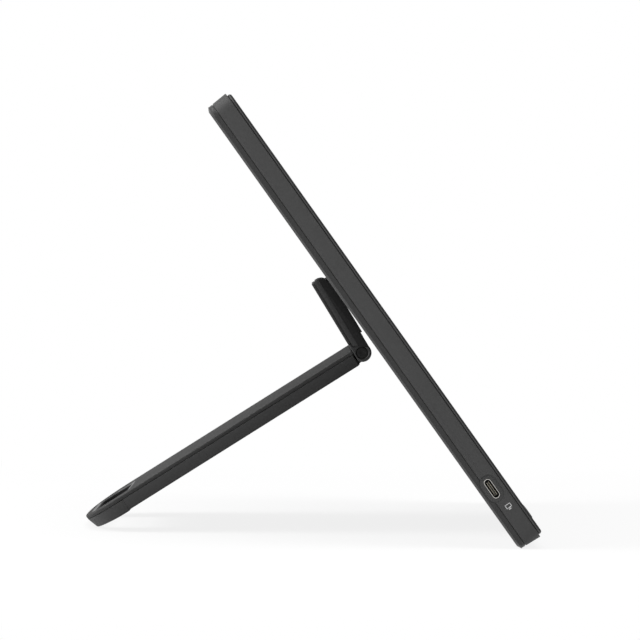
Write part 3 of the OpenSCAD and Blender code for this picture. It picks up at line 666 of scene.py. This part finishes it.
for name, x in BUTTONS.items():
    cap = plate(f"cap_{name}", circle(BUTTON_R, x, BUTTON_Y), CAP_EDGE, on_monitor)
    dress(cap, f"{name}_cap", "button_plastic", button_plastic, f"button_{name}")
    parts = [plate("sign", shape + [x, BUTTON_Y], ends(*SIGN_Z), on_monitor) for shape in sign_shapes(name)]
    dress(joined(f"sign_{name}", parts), f"{name}_cap", "button_plastic", mark_print)

# %% [markdown]
# ## Screws
# All the screws that show are the same pan-head screw. It is made once, in millimetres, with a cross cut
# in its head, and its points are copied to each place. Linked copies would be lighter still, but a
# finished piece lies at the origin, so the copies are joined in one mesh.

# %% Screws
def unplaced(points):
    """Leaves local millimetres as they are, for a shape that is copied later."""
    return np.asarray(points, float)


HEAD_R, HEAD_T, SHANK_R, CROSS_DEPTH = 1.78, 0.45, 0.98, 0.28


def screw_shape():
    """Screw with its head's face at z = 0, its shank towards +z and a cross in the head."""
    head = plate("head", circle(HEAD_R), ends(0, HEAD_T, 0.16), unplaced)
    cross = [plate("cut", box_outline(w, h, 0.05, -h / 2), ends(-1, CROSS_DEPTH), unplaced)
             for w, h in ((1.9, 0.4), (0.4, 1.9))]
    shank = plate("shank", circle(SHANK_R, count=20), ends(HEAD_T - 0.01, 2.2, 0, 0.1), unplaced)
    return arrays(carve(head, cross, [shank]))


SCREW = screw_shape()
print("one screw has", len(SCREW[0]), "points")


def screws(name, places, place):
    """Copies of the screw: a point of a copy is the screw's point plus its place (x, y, z)."""
    points, faces = SCREW
    count = len(points)
    rows = np.concatenate([points + p for p in places])
    all_faces = [[v + i * count for v in f] for i in range(len(places)) for f in faces]
    return new_object(name, place(rows), all_faces)


# %% [markdown]
# ## The hinge brackets
# Two metal brackets are screwed into the pocket in the back and hold the upper pins. Each one is a
# knuckle round the pin with a flat foot. A cylinder and a box would leave a crease between them. Here the
# side view is one outline, a wide arc that runs out into the foot, and the plate gets the bracket's width
# across the stand.

# %% Brackets
HINGE_Y, HINGE_Z, KNUCKLE_R = 132.45, -3.65, 3.3
KNUCKLE = (46.0, 62.0)
PIN_ROOM, HEAD_ROOM = 1.62, 1.85
FOOT_TOP, FOOT_Z = 141.45, (0.02, 0.86)
SCREW_X, SCREW_Y = (50, 58), FOOT_TOP - 2.8
FOOT_SCREWS = [(s * x, SCREW_Y, 0.03) for s in (1, -1) for x in SCREW_X]

foot = rounded([(HINGE_Y + 2.2, FOOT_Z[0], 0), (FOOT_TOP, FOOT_Z[0], 0.35), (FOOT_TOP, FOOT_Z[1], 0),
                (HINGE_Y - KNUCKLE_R, FOOT_Z[1], 0)])
bracket_outline = np.concatenate([arc_points(HINGE_Y, HINGE_Z, KNUCKLE_R, 180, 405, 18), foot])
parts = []
for side in (1, -1):
    piece = plate("bracket", bracket_outline, ends(*KNUCKLE, 0.3, 0.3) * [1, side], on_monitor, "side")
    cuts = [plate("cut", circle(PIN_ROOM, HINGE_Y, HINGE_Z), ends(40, 70) * [1, side], on_monitor, "side")]
    cuts += [plate("cut", circle(HEAD_ROOM, side * x, SCREW_Y), ends(-1, 0.5), on_monitor) for x in SCREW_X]
    parts.append(carve(piece, cuts))
dress(joined("brackets", parts), "monitor", "dark_metal", zinc, "hinge_brackets")
dress(screws("bracket_heads", FOOT_SCREWS, on_monitor), "monitor", "steel", black_steel, "bracket_screws")

# %% [markdown]
# ## The link's shape
# The link is a short plate between the two hinges. It could be a scaled box with a cylinder at its end,
# but from the side the parting lines between its pieces show, and they are what makes it look built. So
# each piece has its own side view. All are drawn from the same points: y runs from the barrel's middle up
# to the upper hinge, z from the outer face to the face beside the monitor.

# %% Link outlines
STAND_W = 153.0
HALF_W = STAND_W / 2
EAR_X, BARREL_R = 67.5, 3.9
LINK_LEN, LINK_END, OUTER, LID = 32.3, 36.4, -3.4, 1.27
LID_START, SEAM, LID_SHORT = 5.7, 0.15, 0.35
UNDER_LID = OUTER + LID + 0.02
EAR_SEAM = ((4.45, UNDER_LID), (0.8, 3.82))
RAIL_TOP, CHEEK_IN, OVERLAP = 0.2, 0.1, 0.6

# the end beside the upper hinge: a short wall, then an arc towards the monitor
top_arc = arc_points(LINK_LEN, -0.55, 4.05, 0, 75, 12)
top_end = np.concatenate([top_arc, [[LINK_LEN - 0.6, BARREL_R]]])
chamfer = [[LINK_END - 0.5, UNDER_LID], [LINK_END, UNDER_LID + 0.6]]
bar_outline = np.concatenate([[[LID_START, UNDER_LID]], chamfer, top_end, [[LID_START, BARREL_R]]])

# rails and cheeks meet the ears along the slanted ear seam
seam_slope = (EAR_SEAM[1][0] - EAR_SEAM[0][0]) / (EAR_SEAM[1][1] - EAR_SEAM[0][1])
rail_foot = EAR_SEAM[0][0] + seam_slope * (RAIL_TOP - UNDER_LID)
rail_outline = np.concatenate([[EAR_SEAM[0]], chamfer, [(LINK_END, RAIL_TOP), (rail_foot, RAIL_TOP)]])
cheek_low = RAIL_TOP - OVERLAP
cheek_foot = [(rail_foot, cheek_low), (LINK_END - 0.1, cheek_low)]
cheek_outline = np.concatenate([cheek_foot, top_end, [EAR_SEAM[1]]])

seam_turn = math.degrees(math.atan2(EAR_SEAM[1][1], EAR_SEAM[1][0]))
flat_turn = math.degrees(math.asin(-OUTER / BARREL_R))
eye = arc_points(0, 0, BARREL_R, seam_turn, 180 + flat_turn, 24)
ear_outline = np.concatenate([[[LID_START, OUTER], [LID_START, UNDER_LID], EAR_SEAM[0]], eye])
print("the eye of an ear turns through", round(180 + flat_turn - seam_turn), "degrees")

# %% [markdown]
# ## The link's pieces
# A core with a cheek at each side makes the body. It is painted darker than the rest of the link, as painted
# shade for the shadow that the monitor casts on the link's side. Paler rails lie along its edges, and paler
# ears close round the barrel, each with a dark cap over the pin. One mesh with two paints would lose the
# lines between them. A thin cover with four screws is the outer face, and a rubber pad keeps the link off
# the monitor.

# %% Link
CAP_R, CAP_GAP, CAP_FLOOR = 2.45, 0.04, 75.2
KNUCKLE_ROOM = (KNUCKLE[1] - KNUCKLE[0] + 0.6, 20, 0.4, LINK_LEN - 4.4)
PAD_T, PAD_Y = 0.65, (7.7, 27.0)
LINK_SCREWS = [(s * 20, y, OUTER + 0.06) for s in (1, -1) for y in (12, 24.7)]


def knuckle_cutters():
    """Cutters that clear the two hinge brackets."""
    middle, half = sum(KNUCKLE) / 2, KNUCKLE_ROOM[0] / 2
    plans = [box_outline(*KNUCKLE_ROOM, side * middle - half) for side in (1, -1)]
    return [plate("cut", plan, ends(-9, 9), on_link) for plan in plans]


bar = plate("link_bar", bar_outline, ends(-EAR_X, EAR_X), on_link, "side")
rows = ends(EAR_X - 0.1, HALF_W - CHEEK_IN, 0, 0.15)
cheeks = [plate("cheek", cheek_outline, rows * [1, side], on_link, "side") for side in (1, -1)]
# The core's darker paint is painted shade, the monitor's shadow on the link's side.
dress(carve(bar, knuckle_cutters(), cheeks), "link", "stand_plastic", link_painted_shade, "link_body")

rails = []
for side in (1, -1):
    rail = plate("rail", rail_outline, ends(EAR_X, HALF_W, 0, 0.12) * [1, side], on_link, "side")
    around = plate("around", box_outline(STAND_W, 60, 0.1), ends(UNDER_LID, 9, 0.12), on_link)
    rails.append(carve(rail, keep=[around]))
dress(joined("link_rails", rails), "link", "stand_plastic", link_plastic, "link_body")

ears = []
for side in (1, -1):
    ear = plate("ear", ear_outline, ends(EAR_X, HALF_W, 0, 0.5) * [1, side], on_link, "side")
    hole = plate("cut", circle(CAP_R + CAP_GAP), opening(CAP_FLOOR, HALF_W, 0.5) * [1, side], on_link, "side")
    ears.append(carve(ear, [hole]))
dress(joined("link_ears", ears), "link", "stand_plastic", link_plastic, "link_body")

lid_plan = box_outline(STAND_W, LINK_END - LID_SHORT - LID_START - SEAM, 0.5, LID_START + SEAM)
lid = plate("lid", lid_plan, ends(OUTER, UNDER_LID - 0.05, 0.2, 0.15), on_link)
cuts = [plate("cut", circle(HEAD_R + 0.17, x, y), opening(OUTER + 0.55, OUTER, 0.15), on_link)
        for x, y, z in LINK_SCREWS]
dress(carve(lid, knuckle_cutters() + cuts), "link", "stand_plastic", link_plastic, "link_cover")
dress(screws("link_heads", LINK_SCREWS, on_link), "link", "steel", black_steel, "link_screws")

pad_side = rounded([(PAD_Y[0], BARREL_R, 0), (PAD_Y[1], BARREL_R, 0), (PAD_Y[1], BARREL_R + PAD_T, 0.3),
                    (PAD_Y[0], BARREL_R + PAD_T, 0.3)])
pad = plate("pad", pad_side, ends(-HALF_W, HALF_W, 0.25, 0.25), on_link, "side")
dress(pad, "link", "rubber", pad_rubber, "link_pad")
cap_edge = np.concatenate([ends(75.25, 76.2, 0, 0.3), [[1.4, 76.15], [2.2, 76.07]]])
caps = [plate("cap", circle(CAP_R), cap_edge * [1, side], on_link, "side") for side in (1, -1)]
dress(joined("pin_caps", caps), "link", "cap_plastic", cap_plastic, "barrel_caps")

# %% [markdown]
# ## The leg's plan
# Seen from above the leg is a rectangle whose far end bows out. A half circle would be too pointed for it
# and a rounded box too square. The curve |x / a| ** p + |y / b| ** p = 1 lies between the two: with p = 2
# it is an ellipse, and a larger p fills its corners. Near the tip a long slot gives a finger its hold.

# %% Leg plan
LEG_LEN, LEG_TOP, LEG_LOW, LID_LOW = 140.4, 3.0, -3.8, 1.5
LEG_START, LEG_END, NOSE_START, TIP_DEPTH, TIP_POWER = 4.0, 3.55, 119.5, 20.0, 2.45
SLOT = (86.0, 15.4, LEG_LEN - 13.4)


def tip_outline(start):
    """Plan of the leg from y = start to its tip: (a cos(t)^(2/p), L - b + b sin(t)^(2/p)), t from 0 to 90,
    with the half width a, the length L, the depth b of the bow and the power p."""
    t = np.radians(np.linspace(0, 90, 31))
    x = HALF_W * np.cos(t) ** (2 / TIP_POWER)
    y = LEG_LEN - TIP_DEPTH + TIP_DEPTH * np.sin(t) ** (2 / TIP_POWER)
    x[-1] = 0
    right = np.stack([x, y], 1)
    left = right[-2::-1] * [-1, 1]
    return np.concatenate([[[-HALF_W, start], [HALF_W, start]], right, left])


def slot_plan(end=0.0, side=0.0, shift=0.0):
    """Plan of the finger slot, longer by end at each short end and wider by side at each long side."""
    return stadium(SLOT[0] + 2 * end, SLOT[1] + 2 * side, 0, SLOT[2] + shift, 24)


def slot_cutter(plan):
    """Cutter for the finger slot, through the whole leg."""
    return plate("cut", plan, ends(-6, 4), on_leg)


def ear_room():
    """Round cutters that clear the link's ears."""
    rows = ends(EAR_X - 0.3, HALF_W + 1)
    return [plate("cut", circle(LEG_START, count=56), rows * [1, side], on_leg, "side") for side in (1, -1)]


print("the tip's plan has", len(tip_outline(0)), "points")

# %% [markdown]
# ## The leg's cover and slot
# The cover is a thin plate with a soft upper edge. Round the slot it slopes down to a dark liner: a sheet of
# painted shade that darkens the inside of the slot. The slope is wide on the long sides and narrow at the
# ends, and a bevel has only one width. So the trim is its own ring: each of its rows lies some share of the
# way from the liner's plan to a larger one. The trim is painted a little lighter than the cover, a painted
# highlight along the slope.

# %% Leg cover, slot trim and liner
LINER, TRIM_END, TRIM_SIDE, TRIM_SHIFT, DISH = 0.5, 0.3, 1.6, -0.5, 0.42

inner, outer = slot_plan(LINER, LINER), slot_plan(LINER + TRIM_END, LINER + TRIM_SIDE, TRIM_SHIFT)
lid = plate("lid", tip_outline(LEG_END), ends(LID_LOW, LEG_TOP, 0.22, 0.48), on_leg)
dress(carve(lid, ear_room() + [slot_cutter(outer)]), "leg", "stand_plastic", leg_top_plastic, "leg_cover")

rows = soft_line([(0, LID_LOW), (0, LEG_TOP - DISH), (0.15, LEG_TOP - DISH * 0.8), (1, LEG_TOP)], 0.12)
rows = np.concatenate([rows, [(1, LID_LOW)]])
points = np.concatenate([np.column_stack([inner + (outer - inner) * share, np.full(len(inner), z)])
                         for share, z in rows])
trim = new_object("slot_trim", on_leg(points), ring_faces(len(rows), len(inner), True))
# The trim's lighter colour is a painted highlight on the slope round the slot; its higher gloss catches the lamps
# as well.
dress(trim, "leg", "stand_plastic", trim_painted_highlight, "leg_cover")

# The liner is painted shade: a dark sheet that darkens the inside of the finger slot.
liner_top, liner_low, back = LEG_TOP - DISH, LEG_LOW + 0.4, 0.02 - LINER
loop = np.array([(0, liner_low), (0, liner_top - 0.2), (back, liner_top), (back, liner_low)])
dress(tube("slot_shade_liner", slot_plan(), loop, on_leg), "leg", "cap_plastic", slot_painted_shade, "leg_shell")

# %% [markdown]
# ## The leg's shell
# The shell is the deep lower part: a box that is hollow from above, a neck that reaches to the hinge and
# the barrel that turns on the pins. They could be united, but the seam between them doesn't show, so they
# are only joined in one object. Six screws close it from below.

# %% Leg shell
HOLLOW_Z, HOLLOW_IN = -2.3, 1.5
NECK = [(0, LEG_LOW + 0.5, 0), (3.45, LEG_LOW + 0.5, 0.2), (3.45, LEG_LOW, 0.4), (5.4, LEG_LOW, 0),
        (5.4, LID_LOW - 0.02, 0), (3.5, LID_LOW - 0.02, 0.2), (3.3, 0.5, 0), (0, 0.5, 0)]
LEG_SCREWS = [(s * 60.5, y, LEG_LOW + 0.12) for s in (1, -1) for y in (12, NOSE_START / 2, NOSE_START - 14)]

box_end = NOSE_START - 0.02
box_plan = rounded([(HALF_W, LEG_END, 0.9), (HALF_W, box_end, 0.2), (-HALF_W, box_end, 0.2),
                    (-HALF_W, LEG_END, 0.9)])
box = plate("shell", box_plan, ends(LEG_LOW, LID_LOW - 0.08, 0.8, 0.3), on_leg)
hollow = box_outline(2 * EAR_X - 6, NOSE_START - LEG_START - 4, 0.3, LEG_START + HOLLOW_IN)
cuts = [slot_cutter(inner), plate("cut", hollow, ends(HOLLOW_Z, 4), on_leg)]
cuts += [plate("cut", circle(HEAD_R + 0.17, x, y), opening(LEG_LOW + 0.7, LEG_LOW, 0.15), on_leg)
         for x, y, z in LEG_SCREWS]
box = carve(box, cuts + ear_room())
neck_w = EAR_X - 0.3
neck = plate("neck", rounded(NECK), ends(-neck_w, neck_w, 0.15, 0.15), on_leg, "side")
barrel = plate("barrel", circle(3.8, count=56), ends(-neck_w, neck_w, 0.3, 0.3), on_leg, "side")
dress(joined("leg", [box, neck, barrel]), "leg", "stand_plastic", leg_plastic, "leg_shell")
dress(screws("leg_heads", LEG_SCREWS, on_leg), "leg", "steel", black_steel, "leg_screws")

# %% [markdown]
# ## The rubber nose
# The nose takes the load at the tip. From the side it has a flat sole, a rounded toe and a front that
# rakes back, and from above it follows the leg's bow. No single sweep gives both, so it is what two
# solids share: its side view swept across, and the plan swept up, with each row shifted back the lower it
# lies.

# %% Nose
NOSE_TOP, NOSE_LOW, TOE_R, NOSE_RAKE = LID_LOW - 0.16, LEG_LOW - 0.4, 1.345, 1.9
toe_y, toe_z = LEG_LEN - 3.2, LEG_LOW + 1.55

sole = rounded([(LEG_LEN - 0.05, NOSE_TOP, 0.05), (NOSE_START, NOSE_TOP, 0.1), (NOSE_START, NOSE_LOW, 0.1),
                (NOSE_START + 5, NOSE_LOW, 3), (toe_y - 0.3, toe_z - TOE_R, 0)])
toe = arc_points(toe_y, toe_z, TOE_R, -85, -8, 10)
nose_side = np.concatenate([sole, toe, [[LEG_LEN - 0.55, toe_z + 2.1]]])
nose = plate("nose", nose_side, ends(-HALF_W - 2, HALF_W + 2), on_leg, "side")

rows = ends(NOSE_LOW, NOSE_TOP, 0.9, 0.3)
tip = tip_outline(NOSE_START - 5)
grid = swept(tip, rows, "flat").reshape(len(rows), len(tip), 3)
grid[:, :, 1] -= (NOSE_RAKE * (NOSE_TOP - rows[:, 1]) / (NOSE_TOP - NOSE_LOW))[:, None]
around = new_object("around", on_leg(grid.reshape(-1, 3)), solid_faces(len(rows), len(tip)))
dress(carve(nose, [slot_cutter(inner)], keep=[around]), "leg", "rubber", nose_rubber, "leg_nose")

# %% [markdown]
# ## What lies inside
# The inner pieces don't show in use, so they keep the CAD model's own meshes. They could stay unpainted,
# but anyone who opens the casing should see a board, a foil and steel. So they get real finishes too.

# %% Inner pieces
INNER = {sheet_metal: ["panel_tray", "stand_plate", "leg_core"], film_white: ["optical_films"],
         guide_clear: ["light_guide"], led_cream: ["led_strip"], board_green: ["main_board", "button_board"],
         chip_black: ["board_chips", "button_switches"], flex_amber: ["panel_flex", "button_flex"],
         bright_steel: ["hinge_pins", "barrel_pins", "board_screws"], black_steel: ["frame_screws"]}
for mat, names in INNER.items():
    for name in names:
        for slot in frame["nodes"][name].material_slots:
            slot.material = mat
print("inner pieces:", sum(len(n) for n in INNER.values()))

# %% [markdown]
# ## Floor and light
# The set is white. A bright lamp on a grey floor would reach white too, but it would wash out the object.
# So the lamps only light the object at a plain level, and the white that is seen comes from the floor's
# and the world's own glow, which lights nothing. The floor keeps a faint soft shadow and fades into the
# background further out.

# %% Floor
FLOOR_R, FADE_FROM, FADE_TO = 6.0, 0.25, 0.6            # metres
FLOOR_WHITE, FLOOR_GLOW = 0.9, 0.85


def seen(tree):
    """1 for a camera, mirror or glass ray, and 0 for a ray that carries light to a matt surface."""
    path = node(tree, "ShaderNodeLightPath")
    value = path.outputs["Is Camera Ray"]
    for name in ("Is Glossy Ray", "Is Transmission Ray"):
        either = node(tree, "ShaderNodeMath")
        either.operation = "MAXIMUM"
        tree.links.new(value, either.inputs[0])
        tree.links.new(path.outputs[name], either.inputs[1])
        value = either.outputs[0]
    return value


def white_floor():
    """Matt white paint that is seen mixed with plain white: share FLOOR_GLOW near the object, and all of it
    beyond FADE_TO metres. The shadow is soft and faint, and the glow lights nothing."""
    mat = bpy.data.materials.new("white_floor")
    mat.use_nodes = True
    tree = mat.node_tree
    tree.nodes.clear()
    reach = node(tree, "ShaderNodeVectorMath")
    reach.operation = "LENGTH"
    tree.links.new(node(tree, "ShaderNodeTexCoord").outputs["Object"], reach.inputs[0])
    fade = node(tree, "ShaderNodeMapRange", Value=reach.outputs["Value"], From_Min=FADE_FROM,
                From_Max=FADE_TO, To_Min=FLOOR_GLOW, To_Max=1.0)
    share = node(tree, "ShaderNodeMath")
    share.operation = "MULTIPLY"
    tree.links.new(fade.outputs["Result"], share.inputs[0])
    tree.links.new(seen(tree), share.inputs[1])
    mix = node(tree, "ShaderNodeMixShader")
    tree.links.new(share.outputs[0], mix.inputs[0])
    paint = node(tree, "ShaderNodeBsdfDiffuse", Color=(FLOOR_WHITE,) * 3 + (1,))
    tree.links.new(paint.outputs[0], mix.inputs[1])
    tree.links.new(node(tree, "ShaderNodeEmission", Strength=1.0).outputs[0], mix.inputs[2])
    node(tree, "ShaderNodeOutputMaterial", Surface=mix.outputs[0])
    return mat


floor = plate("floor", circle(FLOOR_R / MM, count=96), ends(-2, 0), lambda p: np.asarray(p) * MM)
floor.data.materials.append(white_floor())
print("floor:", 2 * FLOOR_R, "m across")

# %% [markdown]
# ## World and lamps
# The world gives an even light from all sides. One sun would draw hard lines on such plain shapes, and
# three large soft boxes don't: one above, and a low and a high one on the left, which is the side of the
# stand.

# %% World and lamps
AMBIENT = 0.4
LAMPS = {"behind": ((-0.7, 1.6, 0.55), 0.08, 1.2, 14), "above": ((-0.6, -0.2, 1.9), 0.08, 1.4, 18),
         "left": ((-0.25, 1.5, 1.2), 0.06, 1.2, 20)}

world = bpy.data.worlds.new("studio")
bpy.context.scene.world = world
world.use_nodes = True
sky = world.node_tree
sky.nodes.clear()
choose = node(sky, "ShaderNodeMixShader")
sky.links.new(seen(sky), choose.inputs[0])
for i, strength in ((1, AMBIENT), (2, 1.0)):
    shade = node(sky, "ShaderNodeBackground", Color=(1, 1, 1, 1), Strength=strength)
    sky.links.new(shade.outputs[0], choose.inputs[i])
node(sky, "ShaderNodeOutputWorld", Surface=choose.outputs[0])


def soft_box(name, place, target, size, power):
    """Square area light at place, turned to target; power in watts."""
    light = bpy.data.lights.new(name, "AREA")
    light.shape, light.size, light.energy = "SQUARE", size, power
    obj = bpy.data.objects.new(name, light)
    bpy.context.scene.collection.objects.link(obj)
    obj.location = place
    obj.rotation_euler = (Vector(target) - Vector(place)).to_track_quat("-Z", "Y").to_euler()
    return obj


for name, (place, aim_z, size, power) in LAMPS.items():
    soft_box(name, place, (0, 0, aim_z), size, power)
print("lamps:", len(LAMPS))

# %% [markdown]
# ## Camera
# The object is seen from its side, from two metres away through a long lens, so that the near and far
# sides of the screen almost cover each other. A camera without perspective would hide the far side
# altogether, and a nearer one would spread the two apart. This one shows the stand in true profile, and a
# little of its top.

# %% Camera
ROLL = math.radians(0.34)
FOCAL, SENSOR = 267.0, 36.0
STANDS, LOOKS = (-2.092, -0.00288, 0.11751), (1, -0.001553, -0.01326)

lens = bpy.data.cameras.new("camera")
camera = bpy.data.objects.new("camera", lens)
bpy.context.scene.collection.objects.link(camera)
lens.lens, lens.sensor_width = FOCAL, SENSOR
camera.location = STANDS
look = Vector(LOOKS).to_track_quat("-Z", "Y")
camera.rotation_euler = (look @ Quaternion((0, 0, 1), ROLL)).to_euler()
bpy.context.scene.camera = camera
bpy.context.scene.view_settings.view_transform = "Standard"
print("camera at", [round(v, 3) for v in camera.location])
